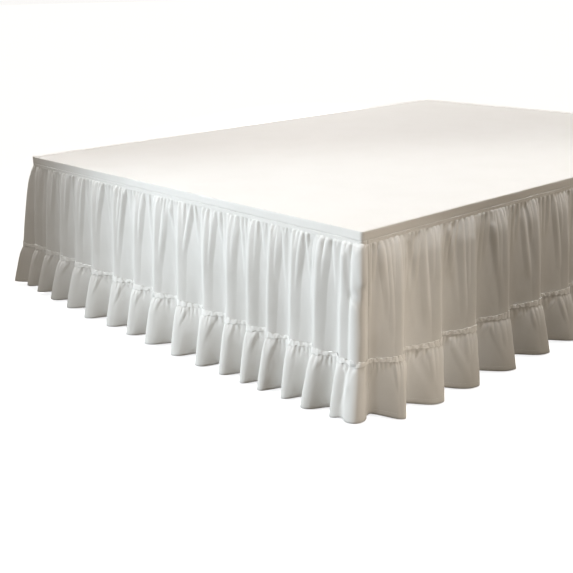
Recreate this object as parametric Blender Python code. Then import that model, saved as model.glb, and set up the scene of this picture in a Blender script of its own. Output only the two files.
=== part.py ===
"""Gathered bed skirt with a 45 cm drop, hung on three sides of a plain 150 x 200 cm bed base.

A flat band runs round the base's foot and both long sides. A stitched tape under it holds
the gathers of a long upper tier, a shorter flounce is gathered on below, and a narrow
ruched trim covers that join. The tape, tiers and trim are each cut in three lengths and
meet at a seam just round each corner.

Frame: X along the foot of the bed, Y towards its head, Z up. The origin is the middle of
the base's top face. The skirt is worked out from the middle of the base's top edge at the
foot, and its pieces are then placed there. Sizes in metres.
"""

import math
import random
from collections import namedtuple

import bmesh
import bpy
from mathutils import Vector

MM = 0.001

# Driving sizes.
BED_WIDTH = 1.50
BED_LENGTH = 2.00
DROP = 0.45
BAND_HEIGHT = 0.021
TAPE_HEIGHT = 0.010
FLOUNCE_HEIGHT = 0.133
TRIM_HEIGHT = 0.016

BAND_THICKNESS = 0.0022
TAPE_THICKNESS = 0.0028
CLOTH_THICKNESS = 0.0016
TRIM_THICKNESS = 0.0024
JOIN_GAP = 0.0003
CORNER_RADIUS = 0.004
CORNER_SEGMENTS = 5

# The plain base that the skirt hangs from, on four square legs. Each leg's centre is set
# in from the two edges of its corner.
BASE_THICKNESS = 0.22
BASE_EDGE_BEVEL = 0.0015
BAND_BELOW_TOP = 0.0005
HEM_ABOVE_FLOOR = 0.002
LEG_WIDTH = 0.060
LEG_INSET = 0.080

# Heights, measured down from the top edge.
TAPE_TOP = BAND_HEIGHT + JOIN_GAP
TAPE_BOTTOM = TAPE_TOP + TAPE_HEIGHT
TIER_TOP = TAPE_BOTTOM + JOIN_GAP
NECK = 0.088
TRIM_BOTTOM = DROP - FLOUNCE_HEIGHT
TRIM_TOP = TRIM_BOTTOM - TRIM_HEIGHT
FLOUNCE_TOP = TRIM_BOTTOM + JOIN_GAP
FLOUNCE_NECK = TRIM_BOTTOM + 0.035

# Distances along the hem are measured this far outside the bed's edge, where it fans out
# round each corner. Distances along the band are measured on the edge itself.
HEM_LINE = 0.056
EDGE_LINE = 0.0
HALF_WIDTH = BED_WIDTH / 2

# The seams round the corners: how far past the corner, how far the hem stands out there,
# and the shares of that stand-off reached at the neck and at the trim.
SEAM_PAST_CORNER = 0.014
SEAM_HEM_OUT = 0.007
SEAM_NECK_SHARE = 0.30
SEAM_TRIM_SHARE = 0.60
HEAD_END_OUT = 0.016

# Mean stand-off of the cloth under the tape, and how deep the small gathers are at each
# row. Each gather is a share of that depth, picked in a range, and shallower where the
# cloth's columns lie closer together than the full gather width.
TOP_OUT = 0.0044
TAPE_GATHER = 0.0016
NECK_GATHER = 0.0024
FLOUNCE_TOP_GATHER = 0.0010
FLOUNCE_NECK_GATHER = 0.0018
FULL_GATHER_WIDTH = 0.011
GATHER_RANGE = (0.55, 1.2)

# The ruching of the trim: how far its crests stand out and its edges draw in.
RUCHE_OUT = 0.0008
RUCHE_HEIGHT = 0.0012
RUCHE_RANGE = (0.4, 1.0)

# Columns of points in each fold, and the step in columns over which a slope is taken.
COLUMNS_PER_FOOT_FOLD = 8
COLUMNS_PER_SIDE_FOLD = 10
SLOPE_STEP = 0.25

# One row for each large fold. "hem" and "top" are where its crest lies along the hem and
# along the band, "out" is how far the hem stands out there, and "dip" how far it does in
# the valley before it. "neck" and "trim" are the shares of that stand-off reached at the
# neck and at the trim, and "rise" is how much higher than the drop the hem hangs. Lengths
# are in millimetres: from the middle of the foot, or from the corner for a long side.
Fold = namedtuple("Fold", "hem top out dip neck trim rise")

FOOT_FOLDS = (
    Fold(-812, -753, 118, 8, 0.20, 0.62, 12),
    Fold(-762, -716, 60, 44, 0.12, 0.44, 14),
    Fold(-680, -640, 66, 18, 0.12, 0.43, 9),
    Fold(-587, -551, 67, 14, 0.12, 0.43, 6),
    Fold(-478, -458, 72, 12, 0.13, 0.43, 4),
    Fold(-352, -366, 82, 15, 0.14, 0.44, 1),
    Fold(-236, -249, 76, 11, 0.13, 0.43, 2),
    Fold(-127, -137, 78, 12, 0.12, 0.43, 1),
    Fold(-26, -34, 83, 14, 0.14, 0.44, 0),
    Fold(101, 72, 80, 10, 0.14, 0.42, 1),
    Fold(208, 190, 78, 12, 0.13, 0.43, 0),
    Fold(308, 286, 78, 11, 0.12, 0.42, 1),
    Fold(389, 373, 73, 14, 0.13, 0.42, 0),
    Fold(461, 451, 74, 15, 0.14, 0.42, 2),
    Fold(534, 532, 63, 13, 0.13, 0.40, 0),
    Fold(613, 623, 67, 14, 0.15, 0.40, 1),
    Fold(701, 704, 54, 12, 0.16, 0.42, 0),
    Fold(744, 737, 48, 46, 0.16, 0.44, 0),
)

NEAR_SIDE_FOLDS = (
    Fold(62, 116, 76, 7, 0.26, 0.62, 0),
    Fold(196, 256, 81, 17, 0.26, 0.55, 1),
    Fold(333, 390, 81, 14, 0.24, 0.53, 0),
    Fold(495, 515, 78, 12, 0.22, 0.50, 0),
    Fold(653, 652, 75, 11, 0.20, 0.49, 1),
    Fold(798, 792, 72, 12, 0.18, 0.48, 0),
)

# How the folds go on where they repeat evenly: their pitch, the mean fold, how much each
# one varies, and the parts of a pitch between the seam and the first crest, and between
# the last crest and the head end.
SIDE_FOLD_PITCH = 0.147
COMMON_FOLD = Fold(0, 0, 75, 12, 0.16, 0.47, 1.5)
FOLD_SPREAD = Fold(14, 12, 6, 3, 0.04, 0.04, 1.5)
FIRST_CREST_PITCHES = 0.6
LAST_CREST_PITCHES = 0.5

# How broad the folds' crests are against their valleys: 1 makes the two alike.
CREST_BREADTH = 1.35

# A valley lies this share of the way from one crest to the next, counted from the crest
# nearer the right corner, or on the left long side from the one nearer the left corner.
VALLEY_SHARE = 0.32

# A crest, a valley or an end of a panel, in metres along the foot and round its corners.
Knot = namedtuple("Knot", "hem top out neck trim rise")

# One row for each panel: its side of the bed, the folds set by hand, and the seeds that
# its other folds, its gathers and its ruching are picked with.
Panel = namedtuple("Panel", "name side folds fold_seed gather_seed ruche_seed")

PANELS = (
    Panel("foot", 0, FOOT_FOLDS, 0, 11, 40),
    Panel("left", -1, (), 23, 12, 41),
    Panel("right", 1, NEAR_SIDE_FOLDS, 31, 13, 42),
)

# Where the skirt's own starting point lies on the bed.
SKIRT_PLACE = (0.0, -BED_LENGTH / 2, -BAND_BELOW_TOP)

COTTON_WHITE = (0.84, 0.83, 0.81, 1.0)
TRIM_WHITE = (0.88, 0.87, 0.85, 1.0)
BASE_WHITE = (0.90, 0.90, 0.89, 1.0)
LEG_WOOD = (0.62, 0.50, 0.36, 1.0)
CLOTH_ROUGHNESS = 0.9
WOOD_ROUGHNESS = 0.6


def edge_point(along, out, line):
    """Plan point at a distance along the line so far outside the bed's edge, moved out."""
    side = 1 if along >= 0 else -1
    straight = HALF_WIDTH - CORNER_RADIUS
    past = abs(along) - straight
    arc = (CORNER_RADIUS + line) * math.pi / 2
    if past <= 0:
        return Vector((along, -out, 0.0))
    if past >= arc:
        return Vector((side * (HALF_WIDTH + out), CORNER_RADIUS + past - arc, 0.0))
    angle = past / (CORNER_RADIUS + line)
    reach = CORNER_RADIUS + out
    across = straight + reach * math.sin(angle)
    return Vector((side * across, CORNER_RADIUS - reach * math.cos(angle), 0.0))


def past_corner(distance, line):
    """Distance along the line of a point so far up a long side from the bed's corner."""
    return HALF_WIDTH - 2 * CORNER_RADIUS + (CORNER_RADIUS + line) * math.pi / 2 + distance


def seam_knot(side, gap):
    """The seam between a foot piece and a long-side piece, a gap beyond or before it."""
    reach = SEAM_PAST_CORNER + gap
    return Knot(side * past_corner(reach, HEM_LINE), side * past_corner(reach, EDGE_LINE),
                SEAM_HEM_OUT, SEAM_NECK_SHARE, SEAM_TRIM_SHARE, 0.0)


def head_knot(side):
    """The free end of a long side, at the head of the bed."""
    return Knot(side * past_corner(BED_LENGTH, HEM_LINE), side * past_corner(BED_LENGTH, EDGE_LINE),
                HEAD_END_OUT, COMMON_FOLD.neck, COMMON_FOLD.trim, 0.0)


def crest_knot(fold, hem_start=0.0, top_start=0.0, side=1):
    """A fold's crest as a knot, placed from the given starts along the edge."""
    return Knot(side * (hem_start + fold.hem * MM), side * (top_start + fold.top * MM),
                fold.out * MM, fold.neck, fold.trim, fold.rise * MM)


def with_valleys(start, crests, dips, end, share):
    """Put a valley between each two crests and close the list with its two ends."""
    knots = [start, crests[0]]
    for before, after, dip in zip(crests, crests[1:], dips[1:]):
        valley = [a + (b - a) * share for a, b in zip(before, after)]
        knots.append(Knot(*valley)._replace(out=dip))
        knots.append(after)
    knots.append(end)
    return knots


def foot_knots(folds):
    """Knots of the foot panel, from the seam past one corner to that past the other."""
    crests = [crest_knot(fold) for fold in folds]
    dips = [fold.dip * MM for fold in folds]
    ends = [seam_knot(side, -JOIN_GAP / 2) for side in (-1, 1)]
    return with_valleys(ends[0], crests, dips, ends[1], 1 - VALLEY_SHARE)


def all_side_folds(set_folds, seed):
    """The folds of a long side: those set by hand, then even ones on to the head end."""
    chance = random.Random(seed)
    folds = list(set_folds)
    reached = SEAM_PAST_CORNER - (1 - FIRST_CREST_PITCHES) * SIDE_FOLD_PITCH
    if folds:
        reached = folds[-1].hem * MM
    count = round((BED_LENGTH - reached) / SIDE_FOLD_PITCH - LAST_CREST_PITCHES)
    pitch = (BED_LENGTH - reached) / (count + LAST_CREST_PITCHES)
    for number in range(1, count + 1):
        change = Fold(*[chance.uniform(-1, 1) * spread for spread in FOLD_SPREAD])
        fold = Fold(*[mean + extra for mean, extra in zip(COMMON_FOLD, change)])
        place = (reached + number * pitch) / MM
        folds.append(fold._replace(hem=place + fold.hem, top=place + fold.top + change.hem / 2))
    return folds


def side_knots(side, folds):
    """Knots of one long side, from its corner seam to the head end."""
    hem_start = past_corner(0.0, HEM_LINE)
    top_start = past_corner(0.0, EDGE_LINE)
    crests = [crest_knot(fold, hem_start, top_start, side) for fold in folds]
    dips = [fold.dip * MM for fold in folds]
    return with_valleys(seam_knot(side, JOIN_GAP / 2), crests, dips, head_knot(side), VALLEY_SHARE)


def smooth_step(share):
    """A share from 0 to 1, eased at both ends."""
    return (1 - math.cos(math.pi * share)) / 2


def fold_out(first, last, share):
    """Stand-off between a crest and a valley, either way round, with the broader crest."""
    low = min(first, last)
    high = max(first, last)
    to_crest = smooth_step(share if last > first else 1 - share)
    return low + (high - low) * (1 - (1 - to_crest) ** CREST_BREADTH)


class Drape:
    """The middle surface of one panel's cloth, as it hangs in its folds."""

    def __init__(self, knots, columns_per_fold, seed):
        self.knots = knots
        self.per_fold = columns_per_fold
        self.columns = (len(knots) - 1) // 2 * columns_per_fold
        self.travel = 1 if knots[-1].hem > knots[0].hem else -1
        self.gathers = self.pick_gathers(random.Random(seed))

    def pick_gathers(self, chance):
        """Shares by which the columns stand out and in by turns. The two ends are plain."""
        gathers = []
        for column in range(self.columns + 1):
            way = 1 if column % 2 else -1
            narrow = min(self.column_width(column) / FULL_GATHER_WIDTH, 1.0)
            gathers.append(way * narrow * chance.uniform(*GATHER_RANGE))
        gathers[0] = 0.0
        gathers[-1] = 0.0
        return gathers

    def knot_at(self, column):
        """The knot values at a column, eased between the crests and valleys."""
        place = min(max(column * 2 / self.per_fold, 0.0), len(self.knots) - 1)
        index = min(int(place), len(self.knots) - 2)
        share = place - index
        before, after = self.knots[index], self.knots[index + 1]
        values = [a + (b - a) * share for a, b in zip(before, after)]
        return Knot(*values)._replace(out=fold_out(before.out, after.out, share))

    def column_width(self, column):
        """Mean width of the cloth on either side of a column, at the neck."""
        return (self.plain_point(column + 1, NECK) - self.plain_point(column - 1, NECK)).length / 2

    def share_at(self, depth, knot):
        """How much of the hem's stand-off the cloth has reached at a depth."""
        stations = ((TIER_TOP, 0.0), (NECK, knot.neck), (TRIM_BOTTOM, knot.trim), (DROP, 1.0))
        for (high, above), (low, below) in zip(stations, stations[1:]):
            if depth <= low:
                return above + (below - above) * (depth - high) / (low - high)
        return 1.0

    def plain_point(self, column, depth):
        """A point of the surface without its small gathers."""
        knot = self.knot_at(column)
        top = edge_point(knot.top, TOP_OUT, EDGE_LINE)
        hem = edge_point(knot.hem, knot.out, HEM_LINE)
        point = top.lerp(hem, self.share_at(depth, knot))
        point.z = -depth + knot.rise * (depth - TIER_TOP) / (DROP - TIER_TOP)
        return point

    def normal(self, column, depth):
        """Level direction out of the cloth's front."""
        if column in (0, self.columns):
            place = self.knot_at(column).hem
            step = self.travel * MM
            across = edge_point(place + step, 0.0, HEM_LINE) - edge_point(place - step, 0.0, HEM_LINE)
        else:
            ahead = self.plain_point(column + SLOPE_STEP, depth)
            across = ahead - self.plain_point(column - SLOPE_STEP, depth)
        return Vector((across.y, -across.x, 0.0)).normalized() * self.travel

    def point(self, column, depth, gather):
        """A point of the surface, moved out or in by its small gather."""
        amount = self.gathers[column] * gather
        return self.plain_point(column, depth) + self.normal(column, depth) * amount


def new_material(name, colour, roughness):
    """A plain material of one colour."""
    material = bpy.data.materials.new(name)
    material.use_nodes = True
    shader = material.node_tree.nodes["Principled BSDF"]
    shader.inputs["Base Color"].default_value = colour
    shader.inputs["Roughness"].default_value = roughness
    shader.inputs["Metallic"].default_value = 0.0
    return material


def add_solid(name, front, back, colour):
    """Close two matching grids of points, front and back, into one solid of the skirt."""
    mesh = bmesh.new()
    front_points = [[mesh.verts.new(point) for point in row] for row in front]
    back_points = [[mesh.verts.new(point) for point in row] for row in back]

    def add_quad(first, second, third, fourth):
        mesh.faces.new((first, second, third))
        mesh.faces.new((first, third, fourth))

    row_count = len(front)
    column_count = len(front[0])
    for row in range(row_count - 1):
        for column in range(column_count - 1):
            for grid in (front_points, back_points):
                add_quad(grid[row][column], grid[row][column + 1],
                         grid[row + 1][column + 1], grid[row + 1][column])
    for row in (0, row_count - 1):
        for column in range(column_count - 1):
            add_quad(front_points[row][column], front_points[row][column + 1],
                     back_points[row][column + 1], back_points[row][column])
    for column in (0, column_count - 1):
        for row in range(row_count - 1):
            add_quad(front_points[row][column], front_points[row + 1][column],
                     back_points[row + 1][column], back_points[row][column])
    bmesh.ops.recalc_face_normals(mesh, faces=mesh.faces)
    data = bpy.data.meshes.new(name)
    mesh.to_mesh(data)
    mesh.free()
    data.materials.append(new_material(name + "_cloth", colour, CLOTH_ROUGHNESS))
    solid = bpy.data.objects.new(name, data)
    solid.location = SKIRT_PLACE
    bpy.context.scene.collection.objects.link(solid)
    return solid


def add_cloth(name, drape, rows):
    """A sheet of cloth hung on a drape. Each row is its depth and its gathers' depth."""
    half = CLOTH_THICKNESS / 2
    columns = range(drape.columns + 1)
    front = []
    back = []
    for depth, gather in rows:
        middle = [drape.point(column, depth, gather) for column in columns]
        normals = [drape.normal(column, depth) for column in columns]
        front.append([point + normal * half for point, normal in zip(middle, normals)])
        back.append([point - normal * half for point, normal in zip(middle, normals)])
    return add_solid(name, front, back, COTTON_WHITE)


def add_trim(name, drape, seed):
    """The ruched strip that covers the join, seated on the upper tier's front."""
    chance = random.Random(seed)
    seat = CLOTH_THICKNESS / 2 + JOIN_GAP
    inner = [[], []]
    outer = [[], []]
    for column in range(drape.columns + 1):
        way = 1 if column % 2 else -1
        proud = TRIM_THICKNESS + way * RUCHE_OUT * chance.uniform(*RUCHE_RANGE)
        drawn_in = RUCHE_HEIGHT * chance.random()
        for row, depth in enumerate((TRIM_TOP, TRIM_BOTTOM)):
            normal = drape.normal(column, depth)
            base = drape.point(column, depth, 0.0)
            edge = Vector((0.0, 0.0, -drawn_in if row == 0 else drawn_in))
            inner[row].append(base + normal * seat)
            outer[row].append(base + normal * (seat + proud) + edge)
    return add_solid(name, outer, inner, TRIM_WHITE)


def strip_places(start, end):
    """Places along the bed's edge where a flat strip needs points."""
    arc = CORNER_RADIUS * math.pi / 2
    places = [start, end]
    for side in (-1, 1):
        for step in range(CORNER_SEGMENTS + 1):
            place = side * (HALF_WIDTH - CORNER_RADIUS + arc * step / CORNER_SEGMENTS)
            if start < place < end:
                places.append(place)
    return sorted(places)


def add_strip(name, start, end, top, bottom, thickness):
    """A flat strip that lies against the bed's edge between two places along it."""
    front = []
    back = []
    places = strip_places(start, end)
    for depth in (top, bottom):
        drop = Vector((0.0, 0.0, -depth))
        front.append([edge_point(place, thickness, EDGE_LINE) + drop for place in places])
        back.append([edge_point(place, 0.0, EDGE_LINE) + drop for place in places])
    return add_solid(name, front, back, COTTON_WHITE)


def add_block(name, size, centre, colour, roughness):
    """A plain block."""
    mesh = bmesh.new()
    bmesh.ops.create_cube(mesh, size=1.0)
    bmesh.ops.scale(mesh, vec=size, verts=mesh.verts)
    data = bpy.data.meshes.new(name)
    mesh.to_mesh(data)
    mesh.free()
    data.materials.append(new_material(name + "_finish", colour, roughness))
    block = bpy.data.objects.new(name, data)
    block.location = centre
    bpy.context.scene.collection.objects.link(block)
    return block


def add_base():
    """The base, its upright edges rounded to fit inside the band and its others eased."""
    size = (BED_WIDTH - 2 * JOIN_GAP, BED_LENGTH, BASE_THICKNESS)
    centre = (0.0, JOIN_GAP, -BASE_THICKNESS / 2)
    base = add_block("bed_base", size, centre, BASE_WHITE, CLOTH_ROUGHNESS)
    mesh = bmesh.new()
    mesh.from_mesh(base.data)
    upright = [edge for edge in mesh.edges if edge.calc_length() < BASE_THICKNESS + MM]
    bmesh.ops.bevel(mesh, geom=upright, offset=CORNER_RADIUS - JOIN_GAP, segments=CORNER_SEGMENTS,
                    profile=0.5, affect='EDGES')
    rims = [edge for edge in mesh.edges if edge.verts[0].co.z == edge.verts[1].co.z]
    bmesh.ops.bevel(mesh, geom=rims, offset=BASE_EDGE_BEVEL, segments=2, profile=0.5, affect='EDGES')
    bmesh.ops.triangulate(mesh, faces=mesh.faces)
    mesh.to_mesh(base.data)
    mesh.free()


def add_legs():
    """The four legs under the base, whose feet stand on the floor just below the hem."""
    top = -BASE_THICKNESS - JOIN_GAP
    height = BAND_BELOW_TOP + DROP + HEM_ABOVE_FLOOR + top
    for end, y_side in (("foot", -1), ("head", 1)):
        for edge, x_side in (("left", -1), ("right", 1)):
            centre = (x_side * (HALF_WIDTH - LEG_INSET), y_side * (BED_LENGTH / 2 - LEG_INSET),
                      top - height / 2)
            add_block("bed_leg_" + end + "_" + edge, (LEG_WIDTH, LEG_WIDTH, height), centre,
                      LEG_WOOD, WOOD_ROUGHNESS)


def panel_drape(panel):
    """The hanging surface of one panel."""
    if panel.side == 0:
        return Drape(foot_knots(panel.folds), COLUMNS_PER_FOOT_FOLD, panel.gather_seed)
    folds = all_side_folds(panel.folds, panel.fold_seed)
    return Drape(side_knots(panel.side, folds), COLUMNS_PER_SIDE_FOLD, panel.gather_seed)


def panel_span(panel):
    """Where a panel starts and ends along the bed's edge."""
    seam = past_corner(SEAM_PAST_CORNER, EDGE_LINE)
    head_end = past_corner(BED_LENGTH, EDGE_LINE)
    if panel.side == 0:
        return -seam + JOIN_GAP / 2, seam - JOIN_GAP / 2
    return sorted((panel.side * (seam + JOIN_GAP / 2), panel.side * head_end))


def add_panel(panel):
    """One panel of the skirt: its tape, its upper tier, its flounce and its trim."""
    drape = panel_drape(panel)
    start, end = panel_span(panel)
    add_strip("tape_" + panel.name, start, end, TAPE_TOP, TAPE_BOTTOM, TAPE_THICKNESS)
    add_cloth("upper_tier_" + panel.name, drape,
              ((TIER_TOP, TAPE_GATHER), (NECK, NECK_GATHER), (TRIM_TOP, 0.0), (TRIM_BOTTOM, 0.0)))
    add_cloth("flounce_" + panel.name, drape,
              ((FLOUNCE_TOP, FLOUNCE_TOP_GATHER), (FLOUNCE_NECK, FLOUNCE_NECK_GATHER), (DROP, 0.0)))
    add_trim("trim_" + panel.name, drape, panel.ruche_seed)


def clear_scene():
    """Take away every object that the file starts with."""
    for thing in list(bpy.data.objects):
        bpy.data.objects.remove(thing, do_unlink=True)


def build():
    """Make the base, its legs and the whole skirt."""
    clear_scene()
    add_base()
    add_legs()
    head_end = past_corner(BED_LENGTH, EDGE_LINE)
    add_strip("band", -head_end, head_end, 0.0, BAND_HEIGHT, BAND_THICKNESS)
    for panel in PANELS:
        add_panel(panel)


build()
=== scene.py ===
"""Looks of a gathered bed skirt that hangs on three sides of a plain bed base.

The skirt's cloth is worked out again from the same sizes and folds as the solid model, in
much finer steps: the large folds, the small gathers that die out below each seam, a few
listed creases, the hem and the stitches. The base and its legs keep their solids and
get their finish here. Sizes are in metres: X runs along the foot, Y towards the head of the
bed and Z up. The skirt's points are counted from the middle of the foot's edge, at the
height of the band's top edge.
"""

import math
import random
from collections import namedtuple

import bpy
import numpy as np
from mathutils import Matrix, Vector


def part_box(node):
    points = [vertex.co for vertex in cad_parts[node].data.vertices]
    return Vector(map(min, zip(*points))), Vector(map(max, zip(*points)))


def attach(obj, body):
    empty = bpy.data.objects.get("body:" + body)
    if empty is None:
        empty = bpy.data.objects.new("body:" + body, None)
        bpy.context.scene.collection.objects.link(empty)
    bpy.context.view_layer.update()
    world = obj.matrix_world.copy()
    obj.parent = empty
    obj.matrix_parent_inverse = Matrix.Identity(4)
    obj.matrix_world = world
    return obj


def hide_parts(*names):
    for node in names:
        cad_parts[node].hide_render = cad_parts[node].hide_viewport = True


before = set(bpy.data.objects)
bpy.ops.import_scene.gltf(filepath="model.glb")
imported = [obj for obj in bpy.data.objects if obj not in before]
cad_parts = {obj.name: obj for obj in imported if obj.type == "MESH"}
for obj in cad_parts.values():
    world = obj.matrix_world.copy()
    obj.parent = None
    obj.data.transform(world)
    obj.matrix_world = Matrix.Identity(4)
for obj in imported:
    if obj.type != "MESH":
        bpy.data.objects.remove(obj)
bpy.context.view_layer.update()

MM = 0.001

# ---------------- sizes of the skirt

BED_WIDTH = 1.50
BED_LENGTH = 2.00
DROP = 0.45
BAND_HEIGHT = 0.021
TAPE_HEIGHT = 0.010
FLOUNCE_HEIGHT = 0.133
TRIM_HEIGHT = 0.016
JOIN_GAP = 0.0003
CORNER_RADIUS = 0.004
BAND_BELOW_TOP = 0.0005

# Heights, measured down from the band's top edge.
TAPE_TOP = BAND_HEIGHT + JOIN_GAP
TAPE_BOTTOM = TAPE_TOP + TAPE_HEIGHT
TIER_TOP = TAPE_BOTTOM + JOIN_GAP
NECK = 0.088
TRIM_BOTTOM = DROP - FLOUNCE_HEIGHT
TRIM_TOP = TRIM_BOTTOM - TRIM_HEIGHT

# Distances along the hem are measured this far outside the bed's edge, where it fans out
# round each corner. Distances along the band are measured on the edge itself.
HEM_LINE = 0.056
EDGE_LINE = 0.0
HALF_WIDTH = BED_WIDTH / 2

# The corner seams: how far along the long sides they lie, how far they stand out at the
# hem, and their shares of that at the neck and at the trim. Then how far the head ends
# stand out at the hem, and how far out all the cloth starts at its top.
SEAM_PAST_CORNER = 0.014
SEAM_HEM_OUT = 0.007
SEAM_NECK_SHARE = 0.30
SEAM_TRIM_SHARE = 0.60
HEAD_END_OUT = 0.016
TOP_OUT = 0.0044

# One row for each large fold. "hem" and "top" are where its crest lies along the hem and
# along the band, "out" is how far the hem stands out there, and "dip" how far it does in
# the valley before it. "neck" and "trim" are the shares of that stand-off reached at the
# neck and at the trim, and "rise" is how much higher than the drop the hem hangs. Lengths
# are in millimetres: from the middle of the foot, or from the corner for a long side.
Fold = namedtuple("Fold", "hem top out dip neck trim rise")

FOOT_FOLDS = (
    Fold(-812, -753, 118, 8, 0.20, 0.62, 12),
    Fold(-762, -716, 60, 44, 0.12, 0.44, 14),
    Fold(-680, -640, 66, 18, 0.12, 0.43, 9),
    Fold(-587, -551, 67, 14, 0.12, 0.43, 6),
    Fold(-478, -458, 72, 12, 0.13, 0.43, 4),
    Fold(-352, -366, 82, 15, 0.14, 0.44, 1),
    Fold(-236, -249, 76, 11, 0.13, 0.43, 2),
    Fold(-127, -137, 78, 12, 0.12, 0.43, 1),
    Fold(-26, -34, 83, 14, 0.14, 0.44, 0),
    Fold(101, 72, 80, 10, 0.14, 0.42, 1),
    Fold(208, 190, 78, 12, 0.13, 0.43, 0),
    Fold(308, 286, 78, 11, 0.12, 0.42, 1),
    Fold(389, 373, 73, 14, 0.13, 0.42, 0),
    Fold(461, 451, 74, 15, 0.14, 0.42, 2),
    Fold(534, 532, 63, 13, 0.13, 0.40, 0),
    Fold(613, 623, 67, 14, 0.15, 0.40, 1),
    Fold(701, 704, 54, 12, 0.16, 0.42, 0),
    Fold(744, 737, 48, 46, 0.16, 0.44, 0),
)

NEAR_SIDE_FOLDS = (
    Fold(62, 116, 76, 7, 0.26, 0.62, 0),
    Fold(196, 256, 81, 17, 0.26, 0.55, 1),
    Fold(333, 390, 81, 14, 0.24, 0.53, 0),
    Fold(495, 515, 78, 12, 0.22, 0.50, 0),
    Fold(653, 652, 75, 11, 0.20, 0.49, 1),
    Fold(798, 792, 72, 12, 0.18, 0.48, 0),
)

# How the folds go on where they repeat evenly: their pitch, the mean fold, how much each
# one varies, and the parts of a pitch between the seam and the first crest, and between
# the last crest and the head end.
SIDE_FOLD_PITCH = 0.147
COMMON_FOLD = Fold(0, 0, 75, 12, 0.16, 0.47, 1.5)
FOLD_SPREAD = Fold(14, 12, 6, 3, 0.04, 0.04, 1.5)
FIRST_CREST_PITCHES = 0.6
LAST_CREST_PITCHES = 0.5

# A valley lies this share of the way from one crest to the next, counted from the crest
# nearer the right corner, or on the left long side from the one nearer the left corner.
VALLEY_SHARE = 0.32

# A crest, a valley or an end of a panel, in metres along the foot and round its corners.
Knot = namedtuple("Knot", "hem top out neck trim rise")

# One row for each panel: its side of the bed, the folds listed one by one, and the seeds that
# its other folds and its gathers are picked with.
Panel = namedtuple("Panel", "name side folds fold_seed gather_seed")

PANELS = (
    Panel("foot", 0, FOOT_FOLDS, 0, 11),
    Panel("left", -1, (), 23, 12),
    Panel("right", 1, NEAR_SIDE_FOLDS, 31, 13),
)

# ---------------- sizes of the cloth

CLOTH = 0.0007
HEM_HEIGHT = 0.010
HEM_CLOTH = 0.0016

# The spacing of the points along the band, on each panel.
COLUMN_STEP = {"foot": 0.0018, "left": 0.0034, "right": 0.0022}
TRIM_COLUMN_STEP = {"foot": 0.0017, "left": 0.0024, "right": 0.0019}

# The spacing of their rows at the top and at the bottom of each tier.
TIER_ROW_STEPS = (0.0026, 0.0102)
FLOUNCE_ROW_STEPS = (0.0030, 0.0066)

# Gathers fade out over this length at the two ends of a panel.
END_FADE = 0.012
TRIM_END_FADE = 0.004

# The upper tier starts behind the tape and comes out from under it over a short way. Under
# the tape its gathers keep this share of their height.
TUCK = 0.004
TUCK_OUT = 0.0011
EMERGE = 0.002
TUCKED_SHARE = 0.15

# It ends just above the trim's lower edge. Its creases and its slight unevenness die out
# over a height of cloth that ends a little below the trim's upper edge.
TIER_END_GAP = 0.001
CALM_BELOW_TRIM_TOP = 0.006
CALM_HEIGHT = 0.05

# The least distance from the bed's side to the middle of the upper tier's cloth.
LEAST_OUT = 0.0009

# The flounce starts in front of the tier's lower end and puffs out below the trim. Its
# slope just under the trim and at the hem, against its mean slope.
FLOUNCE_TUCK = 0.005
FLOUNCE_SEAT = 0.0011
PUFF = 0.0014
PUFF_DEPTH = 0.018
FLOUNCE_TOP_SLOPE = 1.25
FLOUNCE_HEM_SLOPE = 0.85

# The cloth doubles over this height, which starts a little above the hem's upper line.
HEM_STEP = 0.003
HEM_STEP_ABOVE = 0.002

# How broad the folds' crests are against their valleys: 1 makes the two alike. The upper
# tier's folds have flatter sides and narrower crests than the hem's.
CREST_BREADTH = 1.35
TIER_BREADTH = 0.9
TIER_FLATNESS = 0.6

# A ridge in the gathered cloth: where it starts along its seam, the place it leans to, the
# length over which it dies out, and its height and half width at the seam. Its top is flat
# for a short way to each side, and then rounded.
Ridge = namedtuple("Ridge", "start end length height width")
RIDGE_FLAT = 0.0016
RIDGE_ROUND = 0.0016

# The share of its height that a ridge has at the seam, how much of its width it loses on
# its way down, and how late it fades: the higher the power, the later.
RIDGE_START_SHARE = 0.4
RIDGE_NARROWING = 0.35
RIDGE_FADE_POWER = 1.6

# The side of a ridge that faces away from the near corner is the steeper one.
STEEP_SHARE = 0.5
STEEP_SIDE = {"foot": -1, "left": -1, "right": 1}

# The least and the most length, height and half width of one kind of ridge, in millimetres.
RidgeKind = namedtuple("RidgeKind", "length height width")

# Ridges have grown in full this far below the seam.
RIDGE_REACH = 0.012

# How far a ridge leans over, as a share of the way to its aim. The aim is the valley, or a
# place near the crest, this share of the way to the valley.
LEAN = {"foot": 1.0, "left": 0.4, "right": 0.4}
CREST_AIM = 0.06

# Between a crest and its valley, in spacings: the room that is left free, how far a ridge
# strays from its even place, and the room beyond the last ridge.
RIDGE_FREE_ROOM = 0.15
RIDGE_STRAY = 0.22
RIDGE_LAST_ROOM = 0.5

# Small puckers just below a seam, sharp troughs between round pleats: their pitch, depth
# and length in millimetres, and how soon below the seam they are at their deepest.
Puckers = namedtuple("Puckers", "pitch depth length reach")

# The share of its depth that a pucker has at the seam, how much of its width it loses on
# its way down, how sharp its trough is, and how early it fades: the higher, the earlier.
PUCKER_START_SHARE = 0.6
PUCKER_NARROWING = 0.5
PUCKER_SHARPNESS = 1.3
PUCKER_FADE_POWER = 1.2

# Creases listed for the panels named, one row each: the place and depth of a crease's
# two ends, how far it stands out at its start or, below zero, lies in, and half its width.
# It fades towards its end. All are in millimetres, and the places are counted as in the
# fold tables.
Crease = namedtuple("Crease", "start start_depth end end_depth height width")

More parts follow.
